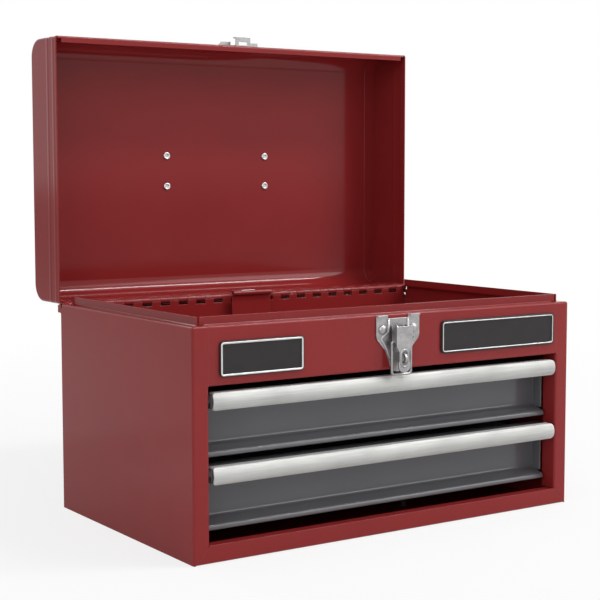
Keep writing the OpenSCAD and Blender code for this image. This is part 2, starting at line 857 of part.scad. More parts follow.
module ball_set(row) {
  color(zinc) both_sides() balls(row, ball_r);
}

// ---------- drawers ----------

module slide_rivet_holes(row) {
  at_row(row) for (y = slide_rivets)
    translate([0, y, 0]) rod_x(tray_x - 3, tray_x + 3, 1.6 + fit);
}

module drawer_rivets(row) {
  color(zinc) at_row(row) both_sides() for (y = slide_rivets)
    translate([tray_x - t, y, 0]) rotate([0, 0, -90])
      rivet(3, 1, 1.6, t + web_t, 2.8, 0.8);
}

module drawer_tray(row) {
  side = tray_top - 2 * t - hem_in - bend_r;
  hem_low = tray_top - 5 - t - hem_in;
  hem_x = 2 * (t + hem_in);
  color(grey) difference() {
    translate([0, 0, drawer_z[row]]) {
      along_y(front_y + t, tray_y) translate([-tray_x + hem_x, hem_low]) rotate(90)
        fold([[5, 180, hem_in], [side, 90, ri], [2 * tray_x - 2 * bend_r, 90, ri],
          [side, 180, hem_in], [5, 0, 0]]);
      mirror([0, 1, 0]) along_x(-tray_x + hem_x + 0.1, tray_x - hem_x - 0.1)
        translate([-tray_y + hem_x, hem_low]) rotate(90)
        fold([[5, 180, hem_in], [side, 90, ri], [6, 0, 0]]);
      both_sides() box([tray_x - hem_x - 0.2, tray_y - t, 2 * t - eps],
        [tray_x - t + eps, tray_y, hem_low - 1]);
    }
    both_sides() slide_rivet_holes(row);
  }
}

module drawer_front(row) {
  color(grey) translate([0, 0, drawer_z[row]]) {
    along_x(-front_x, front_x) translate([curl_y + curl_r, curl_z + curl_r])
      fold([[0, -180, curl_r], [0, -90, curl_r], [flange_z - ri - curl_z, -90, ri],
        [front_y - curl_y - 2 * ri, -90, ri], [flange_z - ri - ledge_h, -ledge_turn, ledge_in],
        [ledge_slope, ledge_turn, ledge_out],
        [ledge_h - ledge_drop - ledge_foot - t, 90, ledge_foot], [ledge_reach + 6, 0, 0]]);
    both_sides() box([front_x, front_y - 11, 7.5], [front_x + t, front_y + t, flange_z + t]);
  }
}

module pull_section() {
  r = (pull_h * pull_h / 4 + pull_bulge * pull_bulge) / (2 * pull_bulge);
  mid = face_h - pull_h / 2;
  inner_h = pull_h - 2 * pull_t;
  difference() {
    intersection() {
      translate([pull_y + r, mid]) circle(r = r);
      translate([pull_y - 1, mid - pull_h / 2]) square([curl_y + 5.5 - pull_y, pull_h]);
    }
    intersection() {
      translate([pull_y + r, mid]) circle(r = r - pull_t);
      translate([pull_y, mid - inner_h / 2]) square([r, inner_h]);
    }
    translate([pull_y + r - eps, mid - inner_h / 2]) square([r, inner_h]);
  }
}

module drawer_pull(row) {
  color(alu) translate([0, 0, drawer_z[row]]) intersection() {
    along_x(-front_x, front_x) pull_section();
    along_y(-hd - 5, -hd + 20) translate([0, face_h - pull_h / 2])
      round_rect(2 * front_x, pull_h, 3);
  }
}

module carrier_upper_left() {
  mirror([1, 0, 0]) carrier(0);
}

module carrier_upper_right() {
  carrier(0);
}

module carrier_lower_left() {
  mirror([1, 0, 0]) carrier(1);
}

module carrier_lower_right() {
  carrier(1);
}

module slide_outer_upper_left() {
  mirror([1, 0, 0]) slide_outer(0);
}

module slide_outer_upper_right() {
  slide_outer(0);
}

module slide_outer_lower_left() {
  mirror([1, 0, 0]) slide_outer(1);
}

module slide_outer_lower_right() {
  slide_outer(1);
}

module slide_inner_upper_left() {
  mirror([1, 0, 0]) slide_inner(0);
}

module slide_inner_upper_right() {
  slide_inner(0);
}

module slide_inner_lower_left() {
  mirror([1, 0, 0]) slide_inner(1);
}

module slide_inner_lower_right() {
  slide_inner(1);
}

module cage_upper_left() {
  mirror([1, 0, 0]) cage(0);
}

module cage_upper_right() {
  cage(0);
}

module cage_lower_left() {
  mirror([1, 0, 0]) cage(1);
}

module cage_lower_right() {
  cage(1);
}

module balls_upper() {
  ball_set(0);
}

module drawer_upper_tray() {
  drawer_tray(0);
}

module drawer_upper_front() {
  drawer_front(0);
}

module drawer_upper_pull() {
  drawer_pull(0);
}

module drawer_upper_catch() {
  drawer_catch(0);
}

module drawer_upper_rivets() {
  drawer_rivets(0);
}

module balls_lower() {
  ball_set(1);
}

module drawer_lower_tray() {
  drawer_tray(1);
}

module drawer_lower_front() {
  drawer_front(1);
}

module drawer_lower_pull() {
  drawer_pull(1);
}

module drawer_lower_catch() {
  drawer_catch(1);
}

module drawer_lower_rivets() {
  drawer_rivets(1);
}

side_panel_left();
side_panel_right();
bottom_panel();
front_header();
back_panel();
compartment_floor();
hinge_body_leaf();
hinge_pin();
badge_left();
badge_right();
latch_plate();
latch_rivets();
latch_staple();
latch_pin();
lock_bar_guides();
carrier_upper_left();
carrier_upper_right();
carrier_lower_left();
carrier_lower_right();
slide_outer_upper_left();
slide_outer_upper_right();
slide_outer_lower_left();
slide_outer_lower_right();
lid_shell();
lid_end_left();
lid_end_right();
lid_hinge_leaf();
lid_press_tab();
strike_plate();
strike_rivets();
handle_brackets();
handle_rivets();
handle_bail();
handle_grip();
latch_lever();
latch_bail();
lock_bar();
drawer_upper_tray();
drawer_upper_front();
drawer_upper_pull();
drawer_upper_catch();
drawer_upper_rivets();
slide_inner_upper_left();
slide_inner_upper_right();
drawer_lower_tray();
drawer_lower_front();
drawer_lower_pull();
drawer_lower_catch();
drawer_lower_rivets();
slide_inner_lower_left();
slide_inner_lower_right();
cage_upper_left();
cage_upper_right();
balls_upper();
cage_lower_left();
cage_lower_right();
balls_lower();
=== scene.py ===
import math

import bmesh
import bpy
from mathutils import Euler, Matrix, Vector


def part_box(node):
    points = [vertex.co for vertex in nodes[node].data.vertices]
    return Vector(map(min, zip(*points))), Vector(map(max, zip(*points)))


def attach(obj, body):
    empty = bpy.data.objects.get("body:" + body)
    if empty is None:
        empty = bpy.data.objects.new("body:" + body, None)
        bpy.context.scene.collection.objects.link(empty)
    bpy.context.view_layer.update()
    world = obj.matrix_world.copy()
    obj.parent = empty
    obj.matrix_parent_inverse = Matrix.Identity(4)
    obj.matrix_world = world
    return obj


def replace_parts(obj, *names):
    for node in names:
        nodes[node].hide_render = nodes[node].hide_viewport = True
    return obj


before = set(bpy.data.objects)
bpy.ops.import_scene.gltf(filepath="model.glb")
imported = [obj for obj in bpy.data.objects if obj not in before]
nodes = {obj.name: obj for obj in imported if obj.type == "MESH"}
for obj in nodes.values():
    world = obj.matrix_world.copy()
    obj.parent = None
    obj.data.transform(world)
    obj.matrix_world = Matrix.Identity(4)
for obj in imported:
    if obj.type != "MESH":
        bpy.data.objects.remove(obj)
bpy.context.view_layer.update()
mm = 0.001
print("frame loaded:", len(nodes), "nodes")


def linear(hexText):
    # sRGB hex to the linear values that Blender works in
    parts = [int(hexText[i:i + 2], 16) / 255 for i in (1, 3, 5)]
    return (*[c / 12.92 if c <= 0.04045 else ((c + 0.055) / 1.055) ** 2.4 for c in parts], 1.0)


def addNode(tree, kind, values=None, **settings):
    # one node with its settings; each input gets a value, or the socket that feeds it
    node = tree.nodes.new(kind)
    for key, value in settings.items():
        setattr(node, key, value)
    for key, value in (values or {}).items():
        if isinstance(value, bpy.types.NodeSocket):
            tree.links.new(value, node.inputs[key])
        else:
            node.inputs[key].default_value = value
    return node


def startMaterial(name):
    material = bpy.data.materials.new(name)
    material.use_nodes = True
    material.node_tree.nodes.clear()
    place = addNode(material.node_tree, "ShaderNodeTexCoord").outputs["Object"]
    return material, material.node_tree, place


def endMaterial(tree, values):
    shader = addNode(tree, "ShaderNodeBsdfPrincipled", values)
    addNode(tree, "ShaderNodeOutputMaterial", {"Surface": shader.outputs[0]})


def perMm(size):
    # noise scale whose features are about this many millimetres across
    return 1 / (size * mm)


edgeMask = {  # cosine between true and rounded normal, where the painted edge highlight starts and where it is full
    "starts": 0.99, "full": 0.8, "samples": 6}
surface = {
    "depthMm": 0.02,  # depth of the peel in enamel and of the grain in metal
    "enamelSpread": 0.3, "metalSpread": 0.06,  # how far the roughness varies: share, amount
    "toneLow": 0.3, "toneHigh": 0.7}  # part of the noise that makes the tones of metal


def findEdges(tree, widthMm, strength):
    # rounds the normal over the sharp edges, and gives how near an edge each point is
    fold = addNode(tree, "ShaderNodeBevel", {"Radius": widthMm * mm},
                   samples=edgeMask["samples"]).outputs[0]
    flat = addNode(tree, "ShaderNodeNewGeometry").outputs["Normal"]
    turned = addNode(tree, "ShaderNodeVectorMath", {0: fold, 1: flat},
                     operation="DOT_PRODUCT").outputs["Value"]
    edge = addNode(tree, "ShaderNodeMapRange", {
        "Value": turned, "From Min": edgeMask["starts"], "From Max": edgeMask["full"],
        "To Min": 0.0, "To Max": strength}).outputs[0]
    return fold, edge


def makeEnamel(name, look):
    # baked enamel: an even coat with a faint orange peel, lightened at sharp edges and folds by
    # a painted highlight
    material, tree, place = startMaterial(name)
    fold, edge = findEdges(tree, look["edgeMm"], look["paintedHighlightStrength"])
    cloud = addNode(tree, "ShaderNodeTexNoise", {
        "Vector": place, "Scale": perMm(look["cloudMm"]), "Detail": 3.0})
    peel = addNode(tree, "ShaderNodeTexNoise", {
        "Vector": place, "Scale": perMm(look["peelMm"]), "Detail": 2.0})
    coat = addNode(tree, "ShaderNodeMix", {
        0: cloud.outputs[0], 6: linear(look["dark"]), 7: linear(look["light"])},
        data_type="RGBA")
    # painted highlight: a paler colour mixed in near sharp edges, standing in for light caught
    # there
    paintedHighlight = addNode(tree, "ShaderNodeMix", {
        0: edge, 6: coat.outputs[2], 7: linear(look["paintedHighlight"])}, data_type="RGBA")
    shape = fold
    for middle in look.get("ridgesMm", []):  # soft ridges pressed into the sheet, across Y
        across = addNode(tree, "ShaderNodeSeparateXYZ", {0: place}).outputs["Y"]
        away = addNode(tree, "ShaderNodeMath", {0: across, 1: middle * mm},
                       operation="SUBTRACT").outputs[0]
        distance = addNode(tree, "ShaderNodeMath", {0: away}, operation="ABSOLUTE").outputs[0]
        rise = addNode(tree, "ShaderNodeMapRange", {
            "Value": distance, "From Min": 0.0, "From Max": look["ridgeWidthMm"] / 2 * mm,
            "To Min": 1.0, "To Max": 0.0}, interpolation_type="SMOOTHSTEP").outputs[0]
        shape = addNode(tree, "ShaderNodeBump", {
            "Strength": 1.0, "Distance": look["ridgeHeightMm"] * mm, "Height": rise,
            "Normal": shape}).outputs[0]
    bump = addNode(tree, "ShaderNodeBump", {
        "Strength": look["peelStrength"], "Distance": surface["depthMm"] * mm,
        "Height": peel.outputs[0], "Normal": shape})
    rough = addNode(tree, "ShaderNodeMapRange", {
        "Value": cloud.outputs[0], "To Min": look["rough"] * (1 - surface["enamelSpread"]),
        "To Max": look["rough"] * (1 + surface["enamelSpread"])})
    endMaterial(tree, {
        "IOR": look["ior"], "Base Color": paintedHighlight.outputs[2], "Roughness": rough.outputs[0],
        "Normal": bump.outputs[0]})
    return material


def makeMetal(name, look):
    # bare or plated metal: the grain is drawn out along the way it was rolled or brushed
    material, tree, place = startMaterial(name)
    fold, edge = findEdges(tree, look["edgeMm"], look["paintedHighlightStrength"])
    drawn = addNode(tree, "ShaderNodeMapping", {
        "Vector": place, "Scale": look["stretch"]}).outputs[0]
    grain = addNode(tree, "ShaderNodeTexNoise", {
        "Vector": drawn, "Scale": perMm(look["grainMm"]), "Detail": 4.0})
    cloud = addNode(tree, "ShaderNodeTexNoise", {
        "Vector": place, "Scale": perMm(look["cloudMm"]), "Detail": 2.0})
    both = addNode(tree, "ShaderNodeMix", {
        0: 0.5, 2: grain.outputs[0], 3: cloud.outputs[0]}, data_type="FLOAT")
    tone = addNode(tree, "ShaderNodeMapRange", {
        "Value": both.outputs[0], "From Min": surface["toneLow"],
        "From Max": surface["toneHigh"]})
    metal = addNode(tree, "ShaderNodeMix", {
        0: tone.outputs[0], 6: linear(look["dark"]), 7: linear(look["light"])},
        data_type="RGBA")
    # painted highlight: a paler colour mixed in near sharp edges, standing in for glints caught
    # there
    paintedHighlight = addNode(tree, "ShaderNodeMix", {
        0: edge, 6: metal.outputs[2], 7: linear(look["paintedHighlight"])}, data_type="RGBA")
    bump = addNode(tree, "ShaderNodeBump", {
        "Strength": look["bump"], "Distance": surface["depthMm"] * mm,
        "Height": grain.outputs[0], "Normal": fold})
    rough = addNode(tree, "ShaderNodeMapRange", {
        "Value": tone.outputs[0], "To Min": look["rough"] + surface["metalSpread"],
        "To Max": look["rough"] - surface["metalSpread"]})
    endMaterial(tree, {
        "Metallic": 1.0, "Base Color": paintedHighlight.outputs[2], "Roughness": rough.outputs[0],
        "Normal": bump.outputs[0]})
    return material


# in each look, the pale edge colour and its strength make a painted highlight along sharp edges
redLook = {  # deep red with a clear gloss that turns milky where it mirrors the room
    "dark": "#832526", "light": "#8D292A", "paintedHighlight": "#B5645F",
    "rough": 0.11, "ior": 1.31, "paintedHighlightStrength": 0.55, "edgeMm": 0.7,
    "cloudMm": 60, "peelMm": 1.8, "peelStrength": 0.12}
redEnamel = makeEnamel("redEnamel", redLook)
ridgedEnamel = makeEnamel("ridgedRedEnamel", {  # the same on the lid's ends, with two ridges
    **redLook, "ior": 1.25,
    "ridgesMm": (135, 147.6), "ridgeWidthMm": 7, "ridgeHeightMm": 0.25})
greyEnamel = makeEnamel("greyEnamel", {  # dark grey enamel, a little flatter than the red
    "dark": "#605F62", "light": "#68676B", "paintedHighlight": "#A3A3A6",
    "rough": 0.16, "ior": 1.42, "paintedHighlightStrength": 0.5, "edgeMm": 0.7,
    "cloudMm": 60, "peelMm": 1.6, "peelStrength": 0.12})
brushedAluminium = makeMetal("brushedAluminium", {  # pale satin, fine lines along the drawer
    "dark": "#B8B8B6", "light": "#C9C9C7", "paintedHighlight": "#D6D6D4",
    "rough": 0.72, "bump": 0.15, "paintedHighlightStrength": 0.5, "edgeMm": 0.5,
    "grainMm": 1.2, "cloudMm": 40, "stretch": (0.03, 1.0, 1.0)})
zincPlate = makeMetal("zincPlate", {  # satin zinc on pressed steel, clouded by handling
    "dark": "#8E8C8C", "light": "#BAB8B8", "paintedHighlight": "#D2D1D1",
    "rough": 0.38, "bump": 0.12, "paintedHighlightStrength": 0.8, "edgeMm": 0.5,
    "grainMm": 1.4, "cloudMm": 7, "stretch": (1.0, 1.0, 1.0)})
brightZinc = makeMetal("brightZinc", {  # the handle's rivets, clean and pale
    "dark": "#C4C3C2", "light": "#E2E1E0", "paintedHighlight": "#ECECEB",
    "rough": 0.3, "bump": 0.08, "paintedHighlightStrength": 0.5, "edgeMm": 0.3,
    "grainMm": 1.2, "cloudMm": 6, "stretch": (1.0, 1.0, 1.0)})
dullZinc = makeMetal("dullZinc", {  # rolled strip of the slides, greyer and flatter
    "dark": "#85878A", "light": "#AFB1B3", "paintedHighlight": "#C8C9CA",
    "rough": 0.42, "bump": 0.2, "paintedHighlightStrength": 0.5, "edgeMm": 0.3,
    "grainMm": 1.5, "cloudMm": 12, "stretch": (1.0, 0.05, 1.0)})
polishedSteel = makeMetal("polishedSteel", {  # hardened balls and the hinge pin
    "dark": "#BCBDC0", "light": "#D6D7D9", "paintedHighlight": "#E4E4E6",
    "rough": 0.14, "bump": 0.02, "paintedHighlightStrength": 0.2, "edgeMm": 0.1,
    "grainMm": 2, "cloudMm": 6, "stretch": (1.0, 1.0, 1.0)})
badgeField = makeEnamel("badgeField", {  # cast plate under a dark satin lacquer
    "dark": "#2B2829", "light": "#322F30", "paintedHighlight": "#4A4849",
    "rough": 0.4, "ior": 1.3, "paintedHighlightStrength": 0.4, "edgeMm": 0.3,
    "cloudMm": 12, "peelMm": 1.2, "peelStrength": 0.2})
badgeLine = makeMetal("badgeLine", {  # the raised line, rubbed bright through the lacquer
    "dark": "#BDBDBC", "light": "#E0E0DF", "paintedHighlight": "#E4E4E3",
    "rough": 0.5, "bump": 0.15, "paintedHighlightStrength": 0.4, "edgeMm": 0.2,
    "grainMm": 1.2, "cloudMm": 8, "stretch": (0.3, 1.0, 1.0)})
gripPlastic = makeEnamel("gripPlastic", {  # moulded polypropylene, matt and finely grained
    "dark": "#141414", "light": "#1D1D1D", "paintedHighlight": "#3A3A3A",
    "rough": 0.6, "ior": 1.49, "paintedHighlightStrength": 0.4, "edgeMm": 0.4,
    "cloudMm": 20, "peelMm": 1.2, "peelStrength": 0.8})
print("materials made")


def finishOf(name):
    kinds = {
        "handle_grip": gripPlastic, "hinge_pin": polishedSteel, "lock_bar_guides": dullZinc,
        "lid_press_tab": dullZinc, "lid_end_left": ridgedEnamel, "lid_end_right": ridgedEnamel}
    if name in kinds:
        return kinds[name]
    if name.endswith("_pull"):
        return brushedAluminium
    if name.startswith("drawer") and name.endswith(("_tray", "_front")):
        return greyEnamel
    if name.startswith(("slide_", "cage_", "balls_")):
        return dullZinc
    if name.startswith(("latch", "strike", "handle")) or name.endswith(("_rivets", "_catch")):
        return zincPlate
    return redEnamel


for nodeName, node in nodes.items():
    node.data.materials.clear()
    node.data.materials.append(finishOf(nodeName))
print("finishes put on the nodes")


def startTree(name, sizes):
    tree = bpy.data.node_groups.new(name, "GeometryNodeTree")
    tree.interface.new_socket("Geometry", in_out="INPUT", socket_type="NodeSocketGeometry")
    for size in sizes:
        tree.interface.new_socket(size, in_out="INPUT", socket_type="NodeSocketFloat")
    tree.interface.new_socket("turn", in_out="INPUT", socket_type="NodeSocketRotation")
    tree.interface.new_socket("finish", in_out="INPUT", socket_type="NodeSocketMaterial")
    tree.interface.new_socket("Geometry", in_out="OUTPUT", socket_type="NodeSocketGeometry")
    return tree, addNode(tree, "NodeGroupInput").outputs


def endTree(tree, given, shape):
    points = addNode(tree, "GeometryNodeMeshToPoints", {"Mesh": given["Geometry"]})
    spread = addNode(tree, "GeometryNodeInstanceOnPoints", {
        "Points": points.outputs[0], "Instance": shape, "Rotation": given["turn"]})
    real = addNode(tree, "GeometryNodeRealizeInstances", {"Geometry": spread.outputs[0]})
    painted = addNode(tree, "GeometryNodeSetMaterial", {
        "Geometry": real.outputs[0], "Material": given["finish"]})
    addNode(tree, "NodeGroupOutput", {"Geometry": painted.outputs[0]})


rivetDetail = {
    "segments": 32, "rings": 16, "shank": 24, "ring": 28, "roll": 12,  # how finely it is drawn
    "intoTail": 0.2}  # share of the tail's height that the shank fills
ballDetail = {"segments": 20, "rings": 12}


def makeRivetTree(detail):
    # domed head above, shank through the sheets, rolled tubular tail below
    tree, given = startTree("rivet", [
        "headRadius", "headHeight", "shankRadius", "grip",
        "tailRadius", "tailHeight", "tailWall"])
    ball = addNode(tree, "GeometryNodeMeshUVSphere", {
        "Segments": detail["segments"], "Rings": detail["rings"],
        "Radius": given["headRadius"]})
    spot = addNode(tree, "ShaderNodeSeparateXYZ", {
        0: addNode(tree, "GeometryNodeInputPosition").outputs[0]}).outputs
    squash = addNode(tree, "ShaderNodeMath", {0: given["headHeight"], 1: given["headRadius"]},
                     operation="DIVIDE")
    above = addNode(tree, "ShaderNodeMath", {0: spot["Z"], 1: 0.0}, operation="MAXIMUM")
    height = addNode(tree, "ShaderNodeMath", {0: above.outputs[0], 1: squash.outputs[0]},
                     operation="MULTIPLY")
    domed = addNode(tree, "ShaderNodeCombineXYZ", {
        "X": spot["X"], "Y": spot["Y"], "Z": height.outputs[0]})
    head = addNode(tree, "GeometryNodeSetPosition", {
        "Geometry": ball.outputs[0], "Position": domed.outputs[0]})

    inTail = addNode(tree, "ShaderNodeMath", {0: given["tailHeight"], 1: detail["intoTail"]},
                     operation="MULTIPLY")
    length = addNode(tree, "ShaderNodeMath", {0: given["grip"], 1: inTail.outputs[0]},
                     operation="ADD").outputs[0]
    shank = addNode(tree, "GeometryNodeMeshCylinder", {
        "Vertices": detail["shank"], "Radius": given["shankRadius"], "Depth": length})
    sunk = addNode(tree, "ShaderNodeMath", {0: length, 1: -0.5}, operation="MULTIPLY")
    shankSpot = addNode(tree, "ShaderNodeCombineXYZ", {"Z": sunk.outputs[0]})
    shankPlaced = addNode(tree, "GeometryNodeTransform", {
        "Geometry": shank.outputs[0], "Translation": shankSpot.outputs[0]})

    rollRadius = addNode(tree, "ShaderNodeMath", {0: given["tailWall"], 1: 0.5},
                         operation="MULTIPLY").outputs[0]
    ringRadius = addNode(tree, "ShaderNodeMath", {0: given["tailRadius"], 1: rollRadius},
                         operation="SUBTRACT")
    ringLine = addNode(tree, "GeometryNodeCurvePrimitiveCircle", {
        "Resolution": detail["ring"], "Radius": ringRadius.outputs[0]})
    rollLine = addNode(tree, "GeometryNodeCurvePrimitiveCircle", {
        "Resolution": detail["roll"], "Radius": rollRadius})
    roll = addNode(tree, "GeometryNodeCurveToMesh", {
        "Curve": ringLine.outputs[0], "Profile Curve": rollLine.outputs[0]})
    inRoll = addNode(tree, "ShaderNodeMath", {0: given["tailHeight"], 1: 0.5},
                     operation="MULTIPLY").outputs[0]
    reach = addNode(tree, "ShaderNodeMath", {0: given["grip"], 1: inRoll}, operation="ADD")
    below = addNode(tree, "ShaderNodeMath", {0: reach.outputs[0], 1: -1.0},
                    operation="MULTIPLY")
    rollSpot = addNode(tree, "ShaderNodeCombineXYZ", {"Z": below.outputs[0]})
    flat = addNode(tree, "ShaderNodeMath", {0: given["tailHeight"], 1: given["tailWall"]},
                   operation="DIVIDE")
    rollSize = addNode(tree, "ShaderNodeCombineXYZ", {"X": 1.0, "Y": 1.0, "Z": flat.outputs[0]})
    rollPlaced = addNode(tree, "GeometryNodeTransform", {
        "Geometry": roll.outputs[0], "Translation": rollSpot.outputs[0],
        "Scale": rollSize.outputs[0]})

    whole = addNode(tree, "GeometryNodeJoinGeometry")
    for part in (head, rollPlaced):
        smooth = addNode(tree, "GeometryNodeSetShadeSmooth", {"Geometry": part.outputs[0]})
        tree.links.new(smooth.outputs[0], whole.inputs[0])
    tree.links.new(shankPlaced.outputs[0], whole.inputs[0])
    endTree(tree, given, whole.outputs[0])
    return tree


def makeBallTree(detail):
    # one polished ball at every point
    tree, given = startTree("ball", ["radius"])
    ball = addNode(tree, "GeometryNodeMeshUVSphere", {
        "Segments": detail["segments"], "Rings": detail["rings"], "Radius": given["radius"]})
    smooth = addNode(tree, "GeometryNodeSetShadeSmooth", {"Geometry": ball.outputs[0]})
    endTree(tree, given, smooth.outputs[0])
    return tree


def spreadPieces(name, tree, spots, values, body, replaced):
    # runs the tree on a point at each spot, and keeps the outcome as one plain mesh
    mesh = bpy.data.meshes.new(name + "Spots")
    mesh.from_pydata(spots, [], [])
    host = bpy.data.objects.new(name + "Host", mesh)
    bpy.context.scene.collection.objects.link(host)
    modifier = host.modifiers.new(name, "NODES")
    modifier.node_group = tree
    for item in tree.interface.items_tree:
        if item.item_type == "SOCKET" and item.in_out == "INPUT" and item.name in values:
            modifier[item.identifier] = values[item.name]
    host.update_tag()
    bpy.context.view_layer.update()
    evaluated = host.evaluated_get(bpy.context.evaluated_depsgraph_get())
    made = bpy.data.meshes.new_from_object(evaluated)
    made.name = name
    host.modifiers.remove(modifier)
    bpy.data.objects.remove(host)
    piece = bpy.data.objects.new(name, made)
    bpy.context.scene.collection.objects.link(piece)
    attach(piece, body)
    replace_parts(piece, *replaced)
    print(name, "made:", len(spots), "places,", len(made.polygons), "faces")


rivetTree = makeRivetTree(rivetDetail)
ballTree = makeBallTree(ballDetail)

latchRivet = {
    "headRadius": 4.3 * mm, "headHeight": 2.6 * mm, "shankRadius": 2.2 * mm, "grip": 2.2 * mm,
    "tailRadius": 3.6 * mm, "tailHeight": 1.2 * mm, "tailWall": 1.6 * mm, "finish": zincPlate}
low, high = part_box("latch_rivets")
rivetX = high.x - latchRivet["headRadius"]
rivetY = low.y + latchRivet["headHeight"]
spreadPieces("latchRivets", rivetTree,
             [(side * rivetX, rivetY, (low.z + high.z) / 2) for side in (-1, 1)],
             {**latchRivet, "turn": Euler((math.pi / 2, 0, 0))},
             "case", ["latch_rivets"])

strikeRivet = {**latchRivet, "headHeight": 2.4 * mm}
low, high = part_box("strike_rivets")
rivetX = high.x - strikeRivet["headRadius"]
rivetZ = high.z - strikeRivet["headHeight"]
spreadPieces("strikeRivets", rivetTree,
             [(side * rivetX, (low.y + high.y) / 2, rivetZ) for side in (-1, 1)],
             {**strikeRivet, "turn": Euler((0, 0, 0))},
             "lid", ["strike_rivets"])

handleRivet = {
    "headRadius": 4 * mm, "headHeight": 2 * mm, "shankRadius": 2.2 * mm, "grip": 2.6 * mm,
    "tailRadius": 3.8 * mm, "tailHeight": 1.4 * mm, "tailWall": 2.2 * mm, "finish": brightZinc}
low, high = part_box("handle_rivets")
rivetX = high.x - handleRivet["headRadius"]
rivetY = high.y - handleRivet["headHeight"]
rivetRows = (low.z + handleRivet["headRadius"], high.z - handleRivet["headRadius"])
spreadPieces("handleRivets", rivetTree,
             [(side * rivetX, rivetY, z) for side in (-1, 1) for z in rivetRows],
             {**handleRivet, "turn": Euler((-math.pi / 2, 0, 0))},
             "lid", ["handle_rivets"])

slideBall = {"radius": 1.75 * mm, "count": 6, "finish": polishedSteel}
for row in ("upper", "lower"):
    low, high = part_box(f"balls_{row}")
    ballX = high.x - slideBall["radius"]
    first, last = low.y + slideBall["radius"], high.y - slideBall["radius"]
    step = (last - first) / (slideBall["count"] - 1)
    races = (low.z + slideBall["radius"], high.z - slideBall["radius"])
    spreadPieces(f"slideBalls.{row}", ballTree,
                 [(side * ballX, first + k * step, z)
                  for side in (-1, 1) for k in range(slideBall["count"]) for z in races],
                 {**slideBall, "turn": Euler((0, 0, 0))},
                 f"cages_{row}", [f"balls_{row}"])


def addPiece(name, work, body, finishes):
    bmesh.ops.recalc_face_normals(work, faces=work.faces)
    mesh = bpy.data.meshes.new(name)
    work.to_mesh(mesh)
    work.free()
    for finish in finishes:
        mesh.materials.append(finish)
    piece = bpy.data.objects.new(name, mesh)
    bpy.context.scene.collection.objects.link(piece)
    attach(piece, body)
    return piece


def addRib(work, path, rib, front, closed):
    # a bead along the path in X and Z, half sunk in the sheet behind it
    points = [Vector(point) * mm for point in path]
    rings = []
    for i, point in enumerate(points):
        before = points[i - 1] if closed or i else 2 * point - points[1]
        onward = closed or i < len(points) - 1
        after = points[(i + 1) % len(points)] if onward else 2 * point - before
        first, second = (point - before).normalized(), (after - point).normalized()
        along = (first + second).normalized()
        side = Vector((along.y, -along.x)) * rib["width"] / 2 * mm / along.dot(first)
        ring = []
        for k in range(rib["steps"]):
            angle = 2 * math.pi * k / rib["steps"]
            spot = point + side * math.cos(angle)
            depth = front - rib["height"] * mm * math.sin(angle)
            ring.append(work.verts.new((spot.x, depth, spot.y)))
        rings.append(ring)
    pairs = list(zip(rings, rings[1:])) + ([(rings[-1], rings[0])] if closed else [])
    for one, two in pairs:
        for k in range(rib["steps"]):
            n = (k + 1) % rib["steps"]
            work.faces.new((one[k], one[n], two[n], two[k])).smooth = True
    if not closed:
        work.faces.new(rings[0])
        work.faces.new(list(reversed(rings[-1])))


plateRib = {  # millimetres; the path goes out from the plate's middle, and down from its top
    "width": 2.6, "height": 1.1, "steps": 16,
    "path": ((10.6, 3.6), (10.6, 14.5), (18, 20.2), (11.4, 31), (8.2, 40.2))}
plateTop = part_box("latch_plate")[1].z / mm
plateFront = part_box("latch_rivets")[0].y + latchRivet["headHeight"]  # where the heads stand
ribs = bmesh.new()
for side in (-1, 1):
    path = [(side * x, plateTop - z) for x, z in plateRib["path"]]
    addRib(ribs, path, plateRib, plateFront, False)
addPiece("latchRibs", ribs, "case", [zincPlate])

slotRim = {  # millimetres; the rim pressed up round the slot of the lever
    "width": 1.6, "height": 0.7, "steps": 12, "radius": 3.6, "straight": 7.9, "low": 8.6,
    "arcSteps": 12}
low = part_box("latch_lever")[0]
rim, loop = bmesh.new(), []
for rise, turn in ((slotRim["straight"], 0), (0, 180)):  # half round at the top, then the foot
    middle = low.z / mm + slotRim["low"] + rise
    for k in range(slotRim["arcSteps"] + 1):
        angle = math.radians(turn + 180 * k / slotRim["arcSteps"])
        loop.append((slotRim["radius"] * math.cos(angle),
                     middle + slotRim["radius"] * math.sin(angle)))
addRib(rim, loop, slotRim, low.y, True)
addPiece("slotRim", rim, "latch_lever", [zincPlate])

hingeEnd = {"gap": 0.2, "reach": 3.8, "outer": 3.0, "inner": 2.25, "steps": 40}  # millimetres
low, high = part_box("hinge_pin")
middle = (low + high) / 2
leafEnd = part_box("hinge_body_leaf")[1].x
turns = [2 * math.pi * k / hingeEnd["steps"] for k in range(hingeEnd["steps"])]
profile = (("gap", "outer"), ("reach", "outer"), ("reach", "inner"), ("gap", "inner"))
ends = bmesh.new()
for side in (-1, 1):  # the cut-off last knuckle at each end of the hinge
    loops = []
    for reach, edge in profile:
        x, radius = side * (leafEnd + hingeEnd[reach] * mm), hingeEnd[edge] * mm
        loops.append([ends.verts.new((x, middle.y + radius * math.cos(turn),
                                      middle.z + radius * math.sin(turn))) for turn in turns])
    for one, two in zip(loops, loops[1:] + loops[:1]):
        for k in range(hingeEnd["steps"]):
            n = (k + 1) % hingeEnd["steps"]
            ends.faces.new((one[k], one[n], two[n], two[k]))
addPiece("hingeEnds", ends, "lid", [redEnamel])

